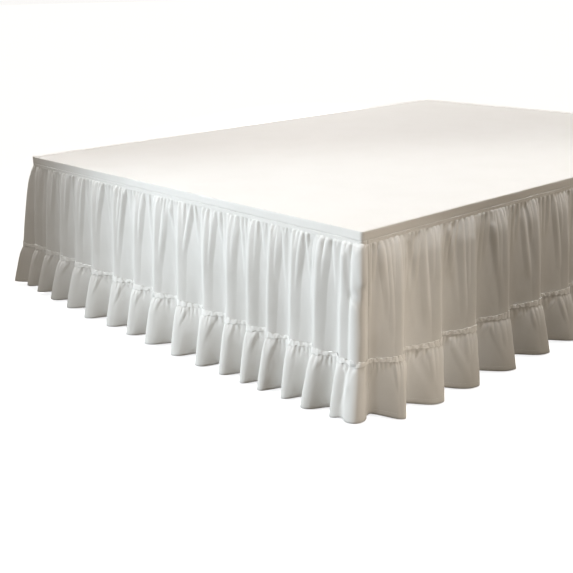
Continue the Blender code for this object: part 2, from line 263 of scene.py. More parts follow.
TIER_CREASES = {
    "foot": (
        Crease(768, 112, 752, 34, 7.0, 24),
        Crease(738, 150, 792, 176, -5.0, 20),
        Crease(700, 60, 722, 205, 3.0, 14),
        Crease(590, 40, 560, 150, -2.0, 16),
        Crease(322, 50, 300, 190, 2.0, 17),
        Crease(20, 60, -18, 210, 2.0, 18),
        Crease(-205, 45, -232, 170, 2.0, 18),
    ),
    "right": (
        Crease(54, 50, 40, 210, 3.0, 14),
        Crease(150, 60, 176, 260, -3.0, 16),
        Crease(300, 50, 318, 230, 3.0, 14),
        Crease(470, 70, 486, 250, 3.0, 14),
        Crease(610, 40, 632, 210, -3.0, 15),
    ),
}

FLOUNCE_CREASES = {
    "foot": (
        Crease(722, 324, 738, 362, 1.8, 6),
        Crease(756, 324, 738, 362, 1.8, 6),
        Crease(738, 366, 726, 436, 2.2, 10),
        Crease(800, 330, 790, 420, -3.0, 14),
    ),
    "right": (
        Crease(92, 326, 84, 410, 2.5, 12),
        Crease(160, 326, 178, 430, -2.5, 14),
        Crease(296, 326, 312, 420, 2.5, 12),
        Crease(452, 326, 474, 430, 2.5, 12),
    ),
}

# The share of its height that a crease has lost at its end.
CREASE_FADE = 0.85

# How a tier is gathered: the depth of its seam, what its seeds start with, the ridges'
# spacing in millimetres on each panel, the kind on a crest and the kinds that lean to the
# crest and to the valley, its puckers and its creases. Ridges that start within
# "crest_share" of the way from a crest to its valley lean to the crest.
Tier = namedtuple("Tier", "seam seed pitch on_crest to_crest to_valley crest_share puckers creases")

UPPER_TIER = Tier(
    seam=TIER_TOP,
    seed=0,
    pitch={"foot": 24, "left": 20, "right": 19.5},
    on_crest=RidgeKind((330, 400), (7.0, 9.0), (24, 32)),
    to_crest=RidgeKind((150, 275), (5.0, 7.0), (14, 18)),
    to_valley=RidgeKind((90, 200), (4.0, 6.0), (12, 16)),
    crest_share=0.62,
    puckers=Puckers((11.0, 22.0), (3.0, 5.5), (16, 62), 3),
    creases=TIER_CREASES,
)
FLOUNCE = Tier(
    seam=TRIM_BOTTOM,
    seed=300,
    pitch={"foot": 14, "left": 15, "right": 14},
    on_crest=RidgeKind((140, 175), (4.0, 5.5), (16, 24)),
    to_crest=RidgeKind((60, 92), (3.4, 4.8), (7, 10)),
    to_valley=RidgeKind((18, 44), (1.2, 2.2), (7, 10)),
    crest_share=0.42,
    puckers=Puckers((7.0, 14.0), (1.8, 3.6), (12, 44), 3),
    creases=FLOUNCE_CREASES,
)

# The cloth's slight unevenness, from broad to fine: the size of its cells along and down,
# and its height.
Crumple = namedtuple("Crumple", "along down height")

CRUMPLES = (
    Crumple(0.085, 0.12, 0.0015),
    Crumple(0.030, 0.055, 0.00055),
    Crumple(0.012, 0.030, 0.00018),
)

# The hem hangs this much higher in the valleys than on the crests, and rises and falls by
# a little more along cells of this length. The cloth follows it over this height.
HEM_RISE = 0.005
HEM_WAVE = 0.004
HEM_WAVE_CELL = 0.06
HEM_WAVE_HEIGHT = 0.07

# A row of stitches: their pitch, length, half width and height above the cloth.
STITCH_PITCH = 0.0042
STITCH_LENGTH = 0.0031
STITCH_HALF_WIDTH = 0.0004
STITCH_HEIGHT = 0.0004

# ---------------- sizes of the strips

# Half the trim's height at a fold's crest, how much of it is lost in the valleys, and the
# number of its rows of points.
TRIM_HALF = 0.0086
TRIM_NARROWING = 0.42
TRIM_ROWS = 11

# The trim's two frilled edges start this share of the way from its middle.
TRIM_EDGE_START = 0.55

# The least and the most pitch of the trim's ripples in millimetres. Petals are the large
# ones along each edge, beads the small ones, and pleats the ones that cross the middle. The
# smallest ripple is a share of the largest.
UPPER_PETALS = (15.0, 25.0)
LOWER_PETALS = (13.0, 23.0)
BEADS = (6.0, 11.0)
PLEATS = (5.0, 11.0)
LEAST_RIPPLE = 0.45

# How far the trim stands out in millimetres: all of it, its middle and its edges. Then how
# far its ripples do, in the middle and at the edges, and how much its edges curl over.
TRIM_STAND = 1.6
MIDDLE_STAND = 1.0
EDGE_STAND = 0.9
MIDDLE_PLEATS = 0.5
MIDDLE_PETALS = 0.5
EDGE_PETALS = 1.3
EDGE_BEADS = 0.6
EDGE_CURL = 0.5

# The ripples slant by up to this many millimetres from the trim's middle to its edges,
# and the slant changes over cells of this length.
TRIM_SLANT = 3.0
TRIM_SLANT_CELL = 0.016

# A flat strip round the bed: where its back and its front lie, outside the bed's edge, and
# the height of its small ripples in millimetres.
Strip = namedtuple("Strip", "inner outer ripple")

BAND = Strip(0.0, 0.0022, 0.0)
TAPE = Strip(0.0019, 0.0028, 0.22)

# The spacing of its points along the bed, its two rows near each long edge, and three
# between them, at shares of its height. The long edges are drawn in by a share of its
# thickness, and the rows next to them by a share of that. The tape's stitches follow one
# row near each edge.
STRIP_STEP = 0.004
STRIP_EDGE_ROWS = (0.0006, 0.0018)
STRIP_MIDDLE_ROWS = (0.3, 0.5, 0.7)
STRIP_DRAWN = 0.2
STRIP_DRAWN_INSIDE = 0.35
STITCH_ROW = 2

# Its broad and its small unevenness: the cells' lengths, the small cells' height as a share
# of the strip's, and the broad one's height in millimetres.
STRIP_WAVE_CELL = 0.06
STRIP_RIPPLE_CELL = 0.005
STRIP_RIPPLE_SHARE = 0.6
STRIP_WAVE = 0.35

# What is added to a panel's seed, and for puckers and crumples to its tier's seed too.
PUCKER_SEED = 100
CRUMPLE_SEED = 200
TRIM_SEED = 600
TAPE_SEED = 700
HEM_WAVE_SEED = 800
BAND_SEED = 5

# ---------------- the folds' knots

def past_corner(distance, line):
    """Distance along the line of a point so far up a long side from the bed's corner."""
    return HALF_WIDTH - 2 * CORNER_RADIUS + (CORNER_RADIUS + line) * math.pi / 2 + distance


def seam_knot(side, gap):
    """The seam between a foot piece and a long-side piece, a gap beyond or before it."""
    reach = SEAM_PAST_CORNER + gap
    return Knot(side * past_corner(reach, HEM_LINE), side * past_corner(reach, EDGE_LINE),
                SEAM_HEM_OUT, SEAM_NECK_SHARE, SEAM_TRIM_SHARE, 0.0)


def head_knot(side):
    """The free end of a long side, at the head of the bed."""
    return Knot(side * past_corner(BED_LENGTH, HEM_LINE), side * past_corner(BED_LENGTH, EDGE_LINE),
                HEAD_END_OUT, COMMON_FOLD.neck, COMMON_FOLD.trim, 0.0)


def crest_knot(fold, hem_start=0.0, top_start=0.0, side=1):
    """A fold's crest as a knot, placed from the given starts along the edge."""
    return Knot(side * (hem_start + fold.hem * MM), side * (top_start + fold.top * MM),
                fold.out * MM, fold.neck, fold.trim, fold.rise * MM)


def with_valleys(start, crests, dips, end, share):
    """Put a valley between each two crests and close the list with its two ends."""
    knots = [start, crests[0]]
    for before, after, dip in zip(crests, crests[1:], dips[1:]):
        valley = [a + (b - a) * share for a, b in zip(before, after)]
        knots.append(Knot(*valley)._replace(out=dip))
        knots.append(after)
    knots.append(end)
    return knots


def foot_knots(folds):
    """Knots of the foot panel, from the seam past one corner to that past the other."""
    crests = [crest_knot(fold) for fold in folds]
    dips = [fold.dip * MM for fold in folds]
    ends = [seam_knot(side, -JOIN_GAP / 2) for side in (-1, 1)]
    return with_valleys(ends[0], crests, dips, ends[1], 1 - VALLEY_SHARE)


def all_side_folds(set_folds, seed):
    """The folds of a long side: those listed, then even ones on to the head end."""
    chance = random.Random(seed)
    folds = list(set_folds)
    reached = SEAM_PAST_CORNER - (1 - FIRST_CREST_PITCHES) * SIDE_FOLD_PITCH
    if folds:
        reached = folds[-1].hem * MM
    count = round((BED_LENGTH - reached) / SIDE_FOLD_PITCH - LAST_CREST_PITCHES)
    pitch = (BED_LENGTH - reached) / (count + LAST_CREST_PITCHES)
    for number in range(1, count + 1):
        change = Fold(*[chance.uniform(-1, 1) * spread for spread in FOLD_SPREAD])
        fold = Fold(*[mean + extra for mean, extra in zip(COMMON_FOLD, change)])
        place = (reached + number * pitch) / MM
        folds.append(fold._replace(hem=place + fold.hem, top=place + fold.top + change.hem / 2))
    return folds


def side_knots(side, folds):
    """Knots of one long side, from its corner seam to the head end."""
    hem_start = past_corner(0.0, HEM_LINE)
    top_start = past_corner(0.0, EDGE_LINE)
    crests = [crest_knot(fold, hem_start, top_start, side) for fold in folds]
    dips = [fold.dip * MM for fold in folds]
    return with_valleys(seam_knot(side, JOIN_GAP / 2), crests, dips, head_knot(side), VALLEY_SHARE)


def panel_knots(panel):
    """All the knots of a panel, in order of their place along the bed's edge."""
    if panel.side == 0:
        return foot_knots(panel.folds)
    knots = side_knots(panel.side, all_side_folds(panel.folds, panel.fold_seed))
    return knots[::panel.side]


# ---------------- the hanging surface

def edge_points(along, out, line):
    """Plan points at places along the line so far outside the bed's edge, moved out."""
    along, out = np.broadcast_arrays(along, out)
    side = np.where(along >= 0, 1.0, -1.0)
    straight = HALF_WIDTH - CORNER_RADIUS
    past = np.abs(along) - straight
    bend = CORNER_RADIUS + line
    angle = np.clip(past / bend, 0.0, math.pi / 2)
    reach = CORNER_RADIUS + out
    across = np.where(past <= 0, np.abs(along), straight + reach * np.sin(angle))
    beyond = np.maximum(past - bend * math.pi / 2, 0.0)
    return np.stack([side * across, CORNER_RADIUS - reach * np.cos(angle) + beyond], axis=-1)


def smooth_step(share):
    """Shares from 0 to 1, eased at both ends."""
    return (1 - np.cos(math.pi * np.clip(share, 0.0, 1.0))) / 2


def fold_out(first, last, share, at_hem):
    """Stand-off between a crest and a valley, either way round, from the tier to the hem."""
    high = np.maximum(first, last)
    low = np.minimum(first, last)
    way = np.where(last > first, share, 1 - share)
    flatness = TIER_FLATNESS * (1 - at_hem)
    to_crest = way * flatness + smooth_step(way) * (1 - flatness)
    breadth = TIER_BREADTH + (CREST_BREADTH - TIER_BREADTH) * at_hem
    return low + (high - low) * (1 - (1 - to_crest) ** breadth)


def eased_span(way, span, start, end, first_slope, last_slope):
    """A curve from one value to another over a span, with the slopes given at its ends."""
    t = way / span
    return (start * (2 * t ** 3 - 3 * t ** 2 + 1) + end * (3 * t ** 2 - 2 * t ** 3)
            + span * (first_slope * (t ** 3 - 2 * t ** 2 + t) + last_slope * (t ** 3 - t ** 2)))


def soft_noise(along, down, cell_along, cell_down, seed):
    """Smooth noise from -1 to 1 over a surface, on cells of the size given."""
    picks = np.random.default_rng(seed)
    along_cells = (along - along.min()) / cell_along
    down_cells = (down - down.min()) / cell_down
    grid = picks.uniform(-1, 1, (int(down_cells.max()) + 2, int(along_cells.max()) + 2))
    column = along_cells.astype(int)
    row = down_cells.astype(int)
    across = smooth_step(along_cells - column)
    below = smooth_step(down_cells - row)
    upper = grid[row, column] * (1 - across) + grid[row, column + 1] * across
    lower = grid[row + 1, column] * (1 - across) + grid[row + 1, column + 1] * across
    return upper * (1 - below) + lower * below


class Surface:
    """The middle surface of one panel, as a grid of rows down and columns along."""

    def __init__(self, knots, tops, depths, share_at):
        table = Knot(*np.array(knots).T)
        place = np.interp(tops, table.top, np.arange(len(knots)))
        before = np.minimum(place.astype(int), len(knots) - 2)
        hem, top, _, neck, trim, rise = (np.interp(tops, table.top, values) for values in table)
        self.tops = np.broadcast_to(tops, (len(depths), len(tops)))
        self.depths = np.broadcast_to(depths[:, None], self.tops.shape)
        at_hem = smooth_step((self.depths - NECK) / (DROP - NECK))
        out = fold_out(table.out[before], table.out[before + 1], place - before, at_hem)
        # 1 on a crest, which has an odd number in the list of knots, and 0 in a valley.
        self.crest = smooth_step(1 - np.abs(place - 2 * np.round((place - 1) / 2) - 1))
        self.share = share_at(self.depths, neck, trim)
        upper = edge_points(self.tops, TOP_OUT, EDGE_LINE)
        lower = edge_points(np.broadcast_to(hem, self.tops.shape), out, HEM_LINE)
        plan = upper + (lower - upper) * self.share[..., None]
        self.along = top + (hem - top) * self.share
        fall = np.clip((self.depths - TIER_TOP) / (DROP - TIER_TOP), 0.0, 1.0)
        height = -self.depths + rise * fall
        self.points = np.concatenate([plan, height[..., None]], axis=-1)
        self.ends = np.minimum(tops - tops[0], tops[-1] - tops)

    def level_normals(self):
        """Level directions out of the front, at each point."""
        across = np.gradient(self.points, axis=1)
        normal = np.stack([across[..., 1], -across[..., 0], np.zeros(self.tops.shape)], axis=-1)
        return normal / np.linalg.norm(normal, axis=-1, keepdims=True)

    def push(self, amount):
        """Move the surface out by an amount at each point."""
        self.points = self.points + self.level_normals() * np.asarray(amount)[..., None]

    def keep_outside(self, least):
        """Move what lies nearer to the bed's edge than this out to it."""
        beside = np.abs(self.points[..., 0]) - HALF_WIDTH
        before = -self.points[..., 1]
        short = np.maximum(least - np.maximum(beside, before), 0.0)
        self.points[..., 0] += np.where(beside > before, short * np.sign(self.points[..., 0]), 0.0)
        self.points[..., 1] -= np.where(beside > before, 0.0, short)

    def end_fade(self, width):
        """A share that falls to nothing at the panel's two ends."""
        return smooth_step(self.ends / width)


def tier_share(depth, neck, trim):
    """How much of the hem's stand-off the upper tier has reached at each depth."""
    upper = NECK - TIER_TOP
    lower = TRIM_BOTTOM - NECK
    steep = neck / upper
    gentle = (trim - neck) / lower
    bend = 2 * steep * gentle / (steep + gentle)
    above = eased_span(np.clip(depth - TIER_TOP, 0.0, upper), upper, 0.0, neck, steep, bend)
    below = eased_span(np.clip(depth - NECK, 0.0, lower), lower, neck, trim, bend, gentle)
    return np.where(depth < NECK, above, below)


def flounce_share(depth, neck, trim):
    """How much of the hem's stand-off the flounce has reached at each depth."""
    way = np.clip(depth - TRIM_BOTTOM, 0.0, FLOUNCE_HEIGHT)
    slope = (1 - trim) / FLOUNCE_HEIGHT
    return eased_span(way, FLOUNCE_HEIGHT, trim, 1.0,
                      FLOUNCE_TOP_SLOPE * slope, FLOUNCE_HEM_SLOPE * slope)


def pick(chance, limits):
    """A length between two limits in millimetres, in metres."""
    return chance.uniform(*limits) * MM


def pick_ridge(chance, start, end, kind):
    """A ridge of a kind, from its place at the seam to the place it leans to."""
    return Ridge(start, end, pick(chance, kind.length), pick(chance, kind.height),
                 pick(chance, kind.width))


def fold_ridges(panel, knots, tier, seed):
    """The ridges of every fold: one on its crest, the others leaning to crest or valley."""
    chance = random.Random(seed)
    pitch = tier.pitch[panel.name] * MM
    ridges = []
    for before, crest, after in zip(knots[0:-2:2], knots[1:-1:2], knots[2::2]):
        ridges.append(pick_ridge(chance, crest.top, crest.top, tier.on_crest))
        for valley in (before, after):
            reach = abs(valley.top - crest.top)
            way = math.copysign(1, valley.top - crest.top)
            count = int(reach / pitch - RIDGE_FREE_ROOM)
            for number in range(1, count + 1):
                stray = chance.uniform(-RIDGE_STRAY, RIDGE_STRAY)
                place = (number + stray) * reach / (count + RIDGE_LAST_ROOM)
                start = crest.top + way * place
                if place < tier.crest_share * reach:
                    kind, aim = tier.to_crest, crest.top + way * CREST_AIM * reach
                else:
                    kind, aim = tier.to_valley, valley.top
                end = start + LEAN[panel.name] * (aim - start)
                ridges.append(pick_ridge(chance, start, end, kind))
    return ridges


def grown(below, reach, start_share):
    """A share that grows from a start at the seam to all of it, a reach below the seam."""
    return start_share + (1 - start_share) * smooth_step(below / reach)


def ridge_lift(surface, ridges, seam_depth, steep_side):
    """How far the ridges stand out from their row's mean, the highest one counting."""
    below = np.maximum(surface.depths - seam_depth, 0.0)
    grow = grown(below, RIDGE_REACH, RIDGE_START_SHARE)
    lift = np.zeros(surface.tops.shape)
    for ridge in ridges:
        way = np.clip(below / ridge.length, 0.0, 1.0)
        centre = ridge.start + (ridge.end - ridge.start) * way
        offset = (surface.tops - centre) * steep_side
        narrow = np.where(offset > 0, STEEP_SHARE, 1.0)
        half = ridge.width * (1 - RIDGE_NARROWING * way) * narrow
        past_flat = np.maximum(np.abs(offset) - RIDGE_FLAT, 0.0)
        tent = np.clip(1 - (np.hypot(past_flat, RIDGE_ROUND) - RIDGE_ROUND) / half, 0.0, 1.0)
        lift = np.maximum(lift, ridge.height * grow * (1 - way ** RIDGE_FADE_POWER) * tent)
    return lift - lift.mean(axis=1, keepdims=True)


def pucker(surface, family, seam_depth, seed):
    """How far small troughs below a seam move the surface."""
    chance = random.Random(seed)
    below = np.maximum(surface.depths - seam_depth, 0.0)
    grow = grown(below, family.reach * MM, PUCKER_START_SHARE)
    move = np.zeros(surface.tops.shape)
    edge = surface.tops[0, 0]
    while edge < surface.tops[0, -1]:
        width = pick(chance, family.pitch)
        deep = pick(chance, family.depth)
        length = pick(chance, family.length)
        closing = np.clip(below / length, 0.0, 1.0)
        half = width / 2 * (1 - PUCKER_NARROWING * closing)
        from_centre = np.abs(surface.tops - edge - width / 2) / half
        inside = np.clip(1 - from_centre, 0.0, 1.0) ** PUCKER_SHARPNESS
        move -= deep * inside * grow * (1 - closing) ** PUCKER_FADE_POWER
        edge += width
    return move


def fold_places(surface, side):
    """Places on the cloth in metres, counted as the fold tables count them."""
    if side == 0:
        return surface.along
    top_start = past_corner(0.0, EDGE_LINE)
    hem_start = past_corner(0.0, HEM_LINE)
    return side * surface.along - top_start - (hem_start - top_start) * surface.share


def crease_lift(surface, panel, creases):
    """How far the creases set by hand move the cloth."""
    places = fold_places(surface, panel.side)
    lift = np.zeros(places.shape)
    for crease in creases.get(panel.name, ()):
        from_start = places - crease.start * MM
        below_start = surface.depths - crease.start_depth * MM
        run = (crease.end - crease.start) * MM
        fall = (crease.end_depth - crease.start_depth) * MM
        way = np.clip((from_start * run + below_start * fall) / (run ** 2 + fall ** 2), 0.0, 1.0)
        away = np.hypot(from_start - way * run, below_start - way * fall)
        height = crease.height * MM * (1 - CREASE_FADE * way)
        lift += height * np.clip(1 - (away / (crease.width * MM)) ** 2, 0.0, 1.0) ** 2
    return lift


def shell(surface, behind=CLOTH / 2):
    """Front and back grids of a surface, half a cloth before it and so far behind it."""
    down = np.gradient(surface.points, axis=0)
    across = np.gradient(surface.points, axis=1)
    normal = np.cross(down, across)
    normal /= np.linalg.norm(normal, axis=-1, keepdims=True)
    front = surface.points + normal * (CLOTH / 2)
    back = surface.points - normal * np.asarray(behind)[..., None]
    return front, back


# ---------------- meshes

def new_mesh_object(name, points, faces, uvs=None):
    """A smooth-shaded mesh object at the skirt's place, with a UV point for each vertex."""
    mesh = bpy.data.meshes.new(name)
    mesh.vertices.add(len(points))
    mesh.vertices.foreach_set("co", np.asarray(points, dtype=np.float32).ravel())
    corners = faces.shape[1]
    mesh.loops.add(faces.size)
    mesh.loops.foreach_set("vertex_index", faces.ravel().astype(np.int32))
    mesh.polygons.add(len(faces))
    mesh.polygons.foreach_set("loop_start", np.arange(0, faces.size, corners, dtype=np.int32))
    if uvs is not None:
        layer = mesh.uv_layers.new(name="UVMap")
        layer.data.foreach_set("uv", uvs[faces.ravel()].astype(np.float32).ravel())
    mesh.update(calc_edges=True)
    mesh.shade_smooth()
    piece = bpy.data.objects.new(name, mesh)
    piece.location = (0.0, -BED_LENGTH / 2, -BAND_BELOW_TOP)
    bpy.context.scene.collection.objects.link(piece)
    return piece


def grid_faces(rows, columns, start, flip):
    """Quads of a grid of points numbered row by row from a start."""
    corner = start + np.arange(rows * columns).reshape(rows, columns)
    quads = np.stack([corner[:-1, :-1], corner[1:, :-1], corner[1:, 1:], corner[:-1, 1:]], axis=-1)
    quads = quads.reshape(-1, 4)
    return quads[:, ::-1] if flip else quads


def rim_faces(rows, columns):
    """Quads that close the gap between a front grid and the back grid numbered after it."""
    corner = np.arange(rows * columns).reshape(rows, columns)
    around = np.concatenate([corner[0, :], corner[1:, -1], corner[-1, -2::-1], corner[-2:0:-1, 0]])
    following = np.roll(around, -1)
    back = rows * columns
    return np.stack([around, following, following + back, around + back], axis=-1)


def add_shell(name, front, back):
    """A closed piece between a front and a back grid, with UV points in metres of cloth."""
    rows, columns = front.shape[:2]
    middle = front[rows // 2]
    steps = np.linalg.norm(np.diff(middle, axis=0), axis=-1)
    along = np.concatenate([[0.0], np.cumsum(steps)])
    falls = np.linalg.norm(np.diff(front[:, columns // 2], axis=0), axis=-1)
    down = np.concatenate([[0.0], np.cumsum(falls)])
    uv = np.stack(np.meshgrid(along, -down), axis=-1).reshape(-1, 2)
    points = np.concatenate([front.reshape(-1, 3), back.reshape(-1, 3)])
    faces = np.concatenate([
        grid_faces(rows, columns, 0, False),
        grid_faces(rows, columns, rows * columns, True),
        rim_faces(rows, columns),
    ])
    return new_mesh_object(name, points, faces, np.concatenate([uv, uv])), along[-1]


# ---------------- pieces of the skirt

def columns_between(knots, step):
    """Places along the band, evenly spaced from a panel's first knot to its last."""
    first, last = knots[0].top, knots[-1].top
    return np.linspace(first, last, round((last - first) / step) + 1)


def depth_rows(start, end, first_step, last_step):
    """Depths from start to end whose spacing grows or shrinks evenly between two steps."""
    count = round(2 * (end - start) / (first_step + last_step))
    share = np.arange(count + 1) / count
    bend = (last_step - first_step) / (first_step + last_step)
    return start + (end - start) * (share * (1 - bend) + share ** 2 * bend)


def crumple(surface, seed):
    """Slight unevenness that cloth shows at three scales."""
    return sum(scale.height * soft_noise(surface.along, surface.depths, scale.along, scale.down,
                                         seed + number)
               for number, scale in enumerate(CRUMPLES))


def gather(surface, panel, knots, tier, loose, rough):
    """Move a tier by shares of its ridges and puckers, then of its creases and crumples."""
    fade = surface.end_fade(END_FADE)
    seed = panel.gather_seed + tier.seed
    ridges = fold_ridges(panel, knots, tier, seed)
    lift = ridge_lift(surface, ridges, tier.seam, STEEP_SIDE[panel.name])
    lift = lift + pucker(surface, tier.puckers, tier.seam, seed + PUCKER_SEED)
    surface.push(lift * fade * loose)
    lift = crumple(surface, seed + CRUMPLE_SEED) + crease_lift(surface, panel, tier.creases)
    surface.push(lift * fade * rough)


def add_upper_tier(panel, knots):
    """The long gathered cloth between the tape and the trim."""
    depths = depth_rows(TIER_TOP - TUCK, TRIM_BOTTOM - TIER_END_GAP, *TIER_ROW_STEPS)
    surface = Surface(knots, columns_between(knots, COLUMN_STEP[panel.name]), depths, tier_share)
    emerge = smooth_step((surface.depths - TIER_TOP + TUCK) / (TUCK + EMERGE))
    surface.push((TUCK_OUT - TOP_OUT) * (1 - emerge))
    loose = TUCKED_SHARE + (1 - TUCKED_SHARE) * emerge
    calm = smooth_step((TRIM_TOP + CALM_BELOW_TRIM_TOP - surface.depths) / CALM_HEIGHT)
    gather(surface, panel, knots, UPPER_TIER, loose, emerge * calm)
    surface.keep_outside(LEAST_OUT)
    return add_shell("cloth_upper_tier_" + panel.name, *shell(surface))


def add_flounce(panel, knots):
    """The shorter gathered cloth below the trim, with its hem turned up behind."""
    depths = depth_rows(TRIM_BOTTOM - FLOUNCE_TUCK, DROP, *FLOUNCE_ROW_STEPS)
    surface = Surface(knots, columns_between(knots, COLUMN_STEP[panel.name]), depths, flounce_share)
    below = np.maximum(surface.depths - TRIM_BOTTOM, 0.0) / PUFF_DEPTH
    puff = PUFF * below * np.exp(1 - below)
    surface.push(FLOUNCE_SEAT + puff * surface.end_fade(END_FADE))
    loose = smooth_step((surface.depths - TRIM_BOTTOM + FLOUNCE_TUCK) / (2 * FLOUNCE_TUCK))
    gather(surface, panel, knots, FLOUNCE, loose, loose)
    wave = soft_noise(surface.along, surface.depths, HEM_WAVE_CELL, 1.0,
                      panel.gather_seed + HEM_WAVE_SEED)
    low = smooth_step((surface.depths - DROP + HEM_WAVE_HEIGHT) / HEM_WAVE_HEIGHT)
    surface.points[..., 2] += (HEM_RISE * (1 - surface.crest) + HEM_WAVE * (1 + wave) / 2) * low
    doubled = smooth_step((surface.depths - DROP + HEM_HEIGHT + HEM_STEP_ABOVE) / HEM_STEP)
    front, back = shell(surface, CLOTH / 2 + (HEM_CLOTH - CLOTH) * doubled)
    hem_row = np.argmin(np.abs(depths - DROP + HEM_HEIGHT))
    return *add_shell("cloth_flounce_" + panel.name, front, back), front[hem_row]


def ruffle(places, pitch, seed):
    """Uneven ripples along a strip, from -1 to 1."""
    chance = random.Random(seed)
    knots = [places.min()]
    values = [0.0]
    way = 1
    while knots[-1] < places.max():
        knots.append(knots[-1] + chance.uniform(*pitch) / 2 * MM)
        values.append(way * chance.uniform(LEAST_RIPPLE, 1.0))
        way = -way
    knots = np.array(knots)
    values = np.array(values)
    place = np.interp(places, knots, np.arange(len(knots)))
    before = np.minimum(place.astype(int), len(knots) - 2)
    ease = smooth_step(place - before)
    return values[before] * (1 - ease) + values[before + 1] * ease


def add_trim(panel, knots):
    """The ruched frill over the join: a puffed middle between two narrow frilled edges."""
    heights = np.linspace(-1.0, 1.0, TRIM_ROWS)
    depths = (TRIM_TOP + TRIM_BOTTOM) / 2 + heights * TRIM_HALF
    tops = columns_between(knots, TRIM_COLUMN_STEP[panel.name])
    surface = Surface(knots, tops, depths, tier_share)
    heights = heights[:, None]
    upper = heights < 0
    puff = np.sqrt(1 - heights ** 2)
    edge = np.clip((np.abs(heights) - TRIM_EDGE_START) / (1 - TRIM_EDGE_START), 0.0, 1.0)
    seed = panel.gather_seed + TRIM_SEED
    slant = soft_noise(surface.tops, surface.depths, TRIM_SLANT_CELL, 1.0, seed + 5)
    slanted = tops + TRIM_SLANT * MM * slant * heights
    petals = np.where(upper, ruffle(slanted, UPPER_PETALS, seed),
                      ruffle(slanted, LOWER_PETALS, seed + 1))
    beads = np.where(upper, ruffle(slanted, BEADS, seed + 2), ruffle(slanted, BEADS, seed + 3))
    pleats = ruffle(slanted, PLEATS, seed + 4)
    frill = EDGE_PETALS * petals + EDGE_BEADS * beads
    ripple = puff * (MIDDLE_PLEATS * pleats + MIDDLE_PETALS * petals) + edge * frill
    fade = surface.end_fade(TRIM_END_FADE)
    stand = TRIM_STAND + MIDDLE_STAND * puff + EDGE_STAND * edge
    surface.push((stand + ripple * fade) * MM)
    lift = -np.sign(heights) * edge * (frill - EDGE_CURL) * MM
    narrowing = TRIM_NARROWING * (1 - surface.crest ** 2)
    surface.points[..., 2] += lift * fade + heights * TRIM_HALF * narrowing
    return add_shell("cloth_trim_" + panel.name, *shell(surface))


def add_strip(name, strip, start, end, top, height, seed):
    """A flat strip round the bed's edge, its long edges eased and its front uneven."""
    tops = np.linspace(start, end, round((end - start) / STRIP_STEP) + 1)
    outer_row, inner_row = STRIP_EDGE_ROWS
    rows = [0.0, outer_row, inner_row, *(share * height for share in STRIP_MIDDLE_ROWS),
            height - inner_row, height - outer_row, height]
    drawn = np.zeros((len(rows), 1))
    drawn[[0, -1]] = STRIP_DRAWN * (strip.outer - strip.inner)
    drawn[[1, -2]] = STRIP_DRAWN_INSIDE * drawn[0]
    depths, places = np.meshgrid(top + np.array(rows), tops, indexing="ij")
    wave = STRIP_WAVE * soft_noise(places, depths, STRIP_WAVE_CELL, height, seed)
    small = strip.ripple * soft_noise(places, depths, STRIP_RIPPLE_CELL,
                                      STRIP_RIPPLE_SHARE * height, seed + 1)
    stand = strip.outer - drawn + (wave + small) * MM * (drawn == 0.0)
    front, back = (np.concatenate([edge_points(places, out, EDGE_LINE), -depths[..., None]], axis=-1)
                   for out in (stand, strip.inner))
    return *add_shell(name, front, back), (front[STITCH_ROW], front[-1 - STITCH_ROW])


def add_stitches(name, lines):
    """Rows of stitches along lines of points on the cloth, each one a thin double point."""
    points = []
    for line in lines:
        reached = np.concatenate([[0.0], np.cumsum(np.linalg.norm(np.diff(line, axis=0), axis=1))])
        middles = np.arange(STITCH_PITCH, reached[-1] - STITCH_PITCH, STITCH_PITCH)
        first, last = (np.stack([np.interp(middles + shift, reached, line[:, axis])
                                 for axis in range(3)], axis=-1)
                       for shift in (-STITCH_LENGTH / 2, STITCH_LENGTH / 2))
        run = (last - first) / np.linalg.norm(last - first, axis=1, keepdims=True)
        out = np.stack([run[:, 1], -run[:, 0], np.zeros(len(run))], axis=-1)
        out /= np.linalg.norm(out, axis=1, keepdims=True)
        across = np.cross(run, out) * STITCH_HALF_WIDTH
        middle = (first + last) / 2
        points.append(np.stack([first, middle + across, last, middle - across,
                                middle + out * STITCH_HEIGHT, middle - out * STITCH_HEIGHT], axis=1))
    points = np.concatenate(points)
    # Each stitch has four corners round it, then its raised point and its sunken one.
    one = np.array([(a, (a + 1) % 4, 4) for a in range(4)] + [((a + 1) % 4, a, 5) for a in range(4)])
    starts = points.shape[1] * np.arange(len(points))
    faces = (one + starts[:, None, None]).reshape(-1, 3)
    points = points.reshape(-1, 3)
    return new_mesh_object(name, points, faces, points[:, :2] + points[:, 2:])


# ---------------- finishes

# The sockets of a Mix node that mixes colours.
MIX_FACTOR, MIX_FIRST, MIX_SECOND, MIX_RESULT = 0, 6, 7, 2

# A wave texture's bands are this far apart at a scale of 1.
WAVE_PERIOD = math.pi / 10

# A cloth's name, its two shades, and the pitch of its weave and the depth of its soft
# crumples in millimetres.
ClothLook = namedtuple("ClothLook", "name light dark weave_pitch crumple_depth")

SKIRT_LOOK = ClothLook("skirt_cloth", (0.765, 0.765, 0.755, 1), (0.72, 0.72, 0.705, 1), 0.9, 0.8)
BAND_LOOK = ClothLook("band_cloth", (0.84, 0.84, 0.83, 1), (0.80, 0.80, 0.785, 1), 0.9, 0.4)
TRIM_LOOK = ClothLook("trim_cloth", (0.88, 0.88, 0.87, 1), (0.84, 0.84, 0.83, 1), 0.7, 0.3)
COVER_LOOK = ClothLook("base_cover", (0.90, 0.90, 0.895, 1), (0.88, 0.88, 0.87, 1), 1.2, 0.4)
WOOD_DARK = (0.36, 0.25, 0.15, 1.0)
WOOD_LIGHT = (0.62, 0.48, 0.32, 1.0)


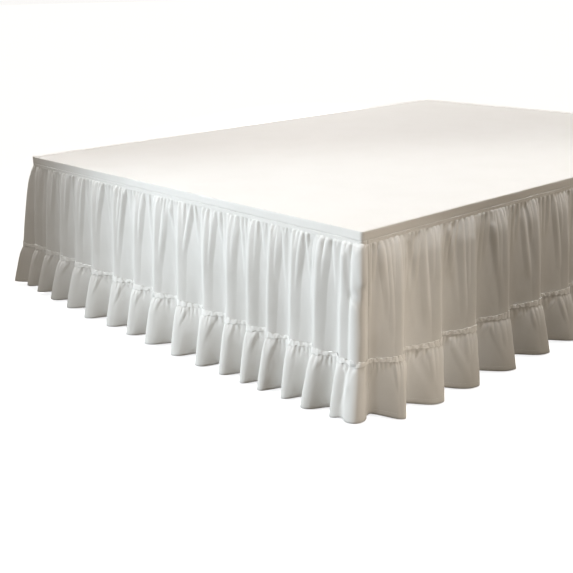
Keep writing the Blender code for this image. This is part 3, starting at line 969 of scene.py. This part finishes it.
class Nodes:
    """Short-hand for building the nodes of a material, or of the world."""

    def __init__(self, owner, shader="Principled BSDF"):
        owner.use_nodes = True
        self.tree = owner.node_tree
        self.shader = self.tree.nodes[shader]

    def add(self, kind, **settings):
        """A new node; settings name its properties, or its inputs by their label."""
        node = self.tree.nodes.new("ShaderNode" + kind)
        for key, value in settings.items():
            if key in node.inputs:
                node.inputs[key].default_value = value
            else:
                setattr(node, key, value)
        return node

    def set(self, label, value):
        """Set a value of the shader itself."""
        self.shader.inputs[label].default_value = value

    def join(self, source, output, target, socket):
        """Link one node's output to another's input."""
        self.tree.links.new(source.outputs[output], target.inputs[socket])

    def mix_colours(self, first, second, source, output, socket="Base Color"):
        """Colour the shader between two colours, by another node's output."""
        mix = self.add("Mix", data_type="RGBA")
        mix.inputs[MIX_FIRST].default_value = first
        mix.inputs[MIX_SECOND].default_value = second
        self.join(source, output, mix, MIX_FACTOR)
        self.join(mix, MIX_RESULT, self.shader, socket)

    def add_bump(self, source, output, strength, depth, below=None):
        """A bump in the surface, on top of another one."""
        bump = self.add("Bump", Strength=strength, Distance=depth)
        self.join(source, output, bump, "Height")
        if below:
            self.join(below, "Normal", bump, "Normal")
        return bump


def cloth_finish(look):
    """Plain-woven cotton: threads each way, slubs, soft crumples and a slight mottle."""
    material = bpy.data.materials.new(look.name)
    nodes = Nodes(material)
    nodes.set("Roughness", 0.88)
    nodes.set("Sheen Weight", 0.25)
    nodes.set("Sheen Roughness", 0.45)
    nodes.set("Specular IOR Level", 0.2)
    place = nodes.add("TexCoord")
    wave_scale = WAVE_PERIOD / (look.weave_pitch * MM)
    warp = nodes.add("TexWave", bands_direction="X", Scale=wave_scale, Distortion=0.6)
    weft = nodes.add("TexWave", bands_direction="Y", Scale=wave_scale, Distortion=0.6)
    for wave in (warp, weft):
        nodes.join(place, "UV", wave, "Vector")
    weave = nodes.add("Math", operation="MULTIPLY")
    nodes.join(warp, "Fac", weave, 0)
    nodes.join(weft, "Fac", weave, 1)
    slub_place = nodes.add("Mapping", Scale=(26.0, 900.0, 1.0))
    nodes.join(place, "UV", slub_place, "Vector")
    slubs = nodes.add("TexNoise", Scale=1.0, Detail=2.0, Roughness=0.5)
    nodes.join(slub_place, "Vector", slubs, "Vector")
    mottle = nodes.add("TexNoise", Scale=7.0, Detail=4.0, Roughness=0.55)
    nodes.join(place, "Object", mottle, "Vector")
    shade = nodes.add("MapRange", **{"From Min": 0.30, "From Max": 0.62})
    nodes.join(mottle, "Fac", shade, "Value")
    slub_shade = nodes.add("Math", operation="MULTIPLY_ADD")
    slub_shade.inputs[1].default_value = 0.35
    nodes.join(slubs, "Fac", slub_shade, 0)
    nodes.join(shade, "Result", slub_shade, 2)
    nodes.mix_colours(look.dark, look.light, slub_shade, "Value")
    crumples = nodes.add("TexNoise", Scale=55.0, Detail=3.0, Roughness=0.5)
    nodes.join(place, "Object", crumples, "Vector")
    below = nodes.add_bump(crumples, "Fac", 0.35, look.crumple_depth * MM)
    below = nodes.add_bump(slubs, "Fac", 0.3, 0.00012, below)
    below = nodes.add_bump(weave, "Value", 0.25, 0.00008, below)
    nodes.join(below, "Normal", nodes.shader, "Normal")
    return material


def wood_finish(name):
    """Light wood with its grain along the leg."""
    material = bpy.data.materials.new(name)
    nodes = Nodes(material)
    nodes.set("Roughness", 0.55)
    place = nodes.add("TexCoord")
    stretch = nodes.add("Mapping", Scale=(60.0, 60.0, 3.5))
    nodes.join(place, "Object", stretch, "Vector")
    grain = nodes.add("TexNoise", Scale=1.0, Detail=6.0, Roughness=0.6, Distortion=0.8)
    nodes.join(stretch, "Vector", grain, "Vector")
    ramp = nodes.add("ValToRGB")
    stops = zip(ramp.color_ramp.elements, (0.32, 0.68), (WOOD_DARK, WOOD_LIGHT))
    for stop, position, colour in stops:
        stop.position = position
        stop.color = colour
    nodes.join(grain, "Fac", ramp, "Fac")
    nodes.join(ramp, "Color", nodes.shader, "Base Color")
    nodes.join(nodes.add_bump(grain, "Fac", 0.3, 0.0004), "Normal", nodes.shader, "Normal")
    return material


def studio_finish(name):
    """The finish of the floor and the backdrop: a pale glow with the faintest mottle."""
    material = bpy.data.materials.new(name)
    nodes = Nodes(material)
    nodes.set("Roughness", FLOOR_ROUGHNESS)
    nodes.set("Emission Color", FLOOR_GLOW_COLOUR)
    nodes.set("Emission Strength", FLOOR_GLOW)
    place = nodes.add("TexCoord")
    noise = nodes.add("TexNoise", Scale=1.2, Detail=2.0)
    nodes.join(place, "Object", noise, "Vector")
    nodes.mix_colours(FLOOR_MOTTLE_COLOUR, FLOOR_COLOUR, noise, "Fac")
    return material


# ---------------- studio

FLOOR_COLOUR = (0.93, 0.93, 0.93, 1.0)
FLOOR_MOTTLE_COLOUR = (0.91605, 0.91605, 0.91605, 1.0)
FLOOR_ROUGHNESS = 0.9
FLOOR_GLOW_COLOUR = (0.97, 0.985, 1.0, 1.0)
FLOOR_GLOW = 0.82
DOME_RADIUS = 60.0

CAMERA_PLACE = (2.2139, -2.5377, 0.5352)
CAMERA_PITCH = math.radians(17.278)
CAMERA_YAW = math.radians(-48.205)
CAMERA_ROLL = math.radians(1.341)
PICTURE_WIDTH = 573
FOCAL_PIXELS = 981.7
SENSOR_WIDTH = 36.0

# The even light from above and from below, and how far past the horizon they blend.
SKY_ABOVE = (0.29, 0.245, 0.19, 1.0)
SKY_BELOW = (0.06, 0.048, 0.036, 1.0)
SKY_BLEND = 0.35

# A round light: its cone in degrees, how much of it fades out, and the lamp's radius.
Spot = namedtuple("Spot", "name place target cone blend radius power colour")

SPOTS = (
    Spot("key", (-3.2, -6.1, 0.95), (1.15, -1.0, -0.25), 29.2, 0.7, 0.2, 1560.0, (0.86, 0.945, 1.0)),
    Spot("front_fill", (0.7, -5.5, -0.1), (0.3, -1.0, -0.3), 50.0, 0.8, 0.3, 75.0, (1.0, 0.97, 0.92)),
    Spot("near_fill", (3.1, -0.4, 0.2), (0.8, -1.03, -0.27), 23.0, 1.0, 0.2, 92.0, (1.0, 0.88, 0.74)),
    Spot("side_fill", (2.4, 1.7, 0.8), (0.8, -0.5, 0.1), 48.0, 1.0, 0.2, 68.0, (1.0, 0.87, 0.72)),
    Spot("back_fill", (-4.2, 3.4, 0.3), (-0.7, 0.6, -0.2), 60.0, 0.8, 0.5, 560.0, (1.0, 0.97, 0.93)),
)

# The light over the bed shines straight down, in a beam as large as the bed.
OVERHEAD_HEIGHT = 2.5
OVERHEAD_SIZE = (1.58, 2.08)
OVERHEAD_POWER = 6.3
OVERHEAD_COLOUR = (0.97, 0.98, 1.0)
OVERHEAD_SPREAD = 3.0


def add_camera():
    """The camera at the photograph's angle."""
    data = bpy.data.cameras.new("camera")
    data.sensor_width = SENSOR_WIDTH
    data.lens = FOCAL_PIXELS / PICTURE_WIDTH * SENSOR_WIDTH
    camera = bpy.data.objects.new("camera", data)
    bpy.context.scene.collection.objects.link(camera)
    turn = Matrix.Rotation(-CAMERA_YAW, 4, "Z") @ Matrix.Rotation(math.pi / 2 - CAMERA_PITCH, 4, "X")
    roll = Matrix.Rotation(-CAMERA_ROLL, 4, "Z")
    camera.matrix_world = Matrix.Translation(CAMERA_PLACE) @ turn @ roll
    bpy.context.scene.camera = camera


def add_floor():
    """A large pale floor under the legs."""
    size = DOME_RADIUS
    points = np.array([(-size, -size, 0), (size, -size, 0), (size, size, 0), (-size, size, 0)])
    floor = new_mesh_object("floor", points, np.array([[0, 1, 2, 3]]))
    floor.location = (0.0, 0.0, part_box("bed_leg_foot_left")[0].z)
    floor.data.materials.append(studio_finish("floor_finish"))
    floor.visible_diffuse = False


def add_backdrop():
    """A pale dome behind everything, that casts no light or shadow and shows in no gloss."""
    bpy.ops.mesh.primitive_uv_sphere_add(segments=64, ring_count=32, radius=DOME_RADIUS)
    dome = bpy.context.object
    dome.name = "backdrop"
    dome.data.shade_smooth()
    dome.data.materials.append(studio_finish("backdrop_finish"))
    dome.visible_diffuse = False
    dome.visible_glossy = False
    dome.visible_shadow = False


def set_world():
    """Even light from above, fading to a dimmer one from below the horizon."""
    world = bpy.data.worlds.new("studio")
    nodes = Nodes(world, "Background")
    parts = nodes.add("SeparateXYZ")
    nodes.join(nodes.add("TexCoord"), "Generated", parts, "Vector")
    height = nodes.add("MapRange", **{"From Min": -SKY_BLEND, "From Max": SKY_BLEND})
    nodes.join(parts, "Z", height, "Value")
    nodes.mix_colours(SKY_BELOW, SKY_ABOVE, height, "Result", "Color")
    bpy.context.scene.world = world


def add_light(name, kind, place, target, power, colour):
    """A light that faces a target; what is given back takes the settings of its kind."""
    data = bpy.data.lights.new(name, kind)
    data.energy = power
    data.color = colour
    light = bpy.data.objects.new(name, data)
    light.location = place
    light.rotation_euler = (Vector(target) - Vector(place)).to_track_quat("-Z", "Y").to_euler()
    bpy.context.scene.collection.objects.link(light)
    return data


def add_lights():
    """The round lights about the bed and the flat one over it."""
    for spot in SPOTS:
        data = add_light(spot.name, "SPOT", spot.place, spot.target, spot.power, spot.colour)
        data.spot_size = math.radians(spot.cone)
        data.spot_blend = spot.blend
        data.shadow_soft_size = spot.radius
    data = add_light("overhead", "AREA", (0.0, 0.0, OVERHEAD_HEIGHT), (0.0, 0.0, 0.0),
                     OVERHEAD_POWER, OVERHEAD_COLOUR)
    data.shape = "RECTANGLE"
    data.size, data.size_y = OVERHEAD_SIZE
    data.spread = math.radians(OVERHEAD_SPREAD)


def add_studio():
    """The floor, the backdrop, the lights and the camera."""
    bpy.context.scene.view_settings.view_transform = "Standard"
    add_floor()
    add_backdrop()
    set_world()
    add_lights()
    add_camera()


# ---------------- the whole

def settle(piece, node, finish):
    """Give a piece its finish and its body, and hide the solid that it stands for."""
    piece.data.materials.append(finish)
    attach(piece, "root")
    if node:
        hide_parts(node)


def dress_base(cover, wood):
    """The base and the legs keep their solids and get their finish."""
    for name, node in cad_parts.items():
        if name.startswith("bed_"):
            node.data.materials.clear()
            node.data.materials.append(cover if name == "bed_base" else wood)


def build_skirt(cloth, doubled, ruche):
    """Every piece of the skirt, with its finish and its body."""
    head_end = past_corner(BED_LENGTH, EDGE_LINE)
    band, length, _ = add_strip("cloth_band", BAND, -head_end, head_end, 0.0, BAND_HEIGHT, BAND_SEED)
    settle(band, "band", doubled)
    for panel in PANELS:
        knots = panel_knots(panel)
        tape, length, tape_lines = add_strip("cloth_tape_" + panel.name, TAPE, knots[0].top,
                                             knots[-1].top, TAPE_TOP, TAPE_HEIGHT,
                                             panel.gather_seed + TAPE_SEED)
        settle(tape, "tape_" + panel.name, doubled)
        tier, length = add_upper_tier(panel, knots)
        settle(tier, "upper_tier_" + panel.name, cloth)
        flounce, length, hem_line = add_flounce(panel, knots)
        settle(flounce, "flounce_" + panel.name, cloth)
        trim, length = add_trim(panel, knots)
        settle(trim, "trim_" + panel.name, ruche)
        stitches = add_stitches("cloth_stitches_" + panel.name, [*tape_lines, hem_line])
        settle(stitches, None, doubled)


build_skirt(cloth_finish(SKIRT_LOOK), cloth_finish(BAND_LOOK), cloth_finish(TRIM_LOOK))
dress_base(cloth_finish(COVER_LOOK), wood_finish("leg_wood"))
add_studio()
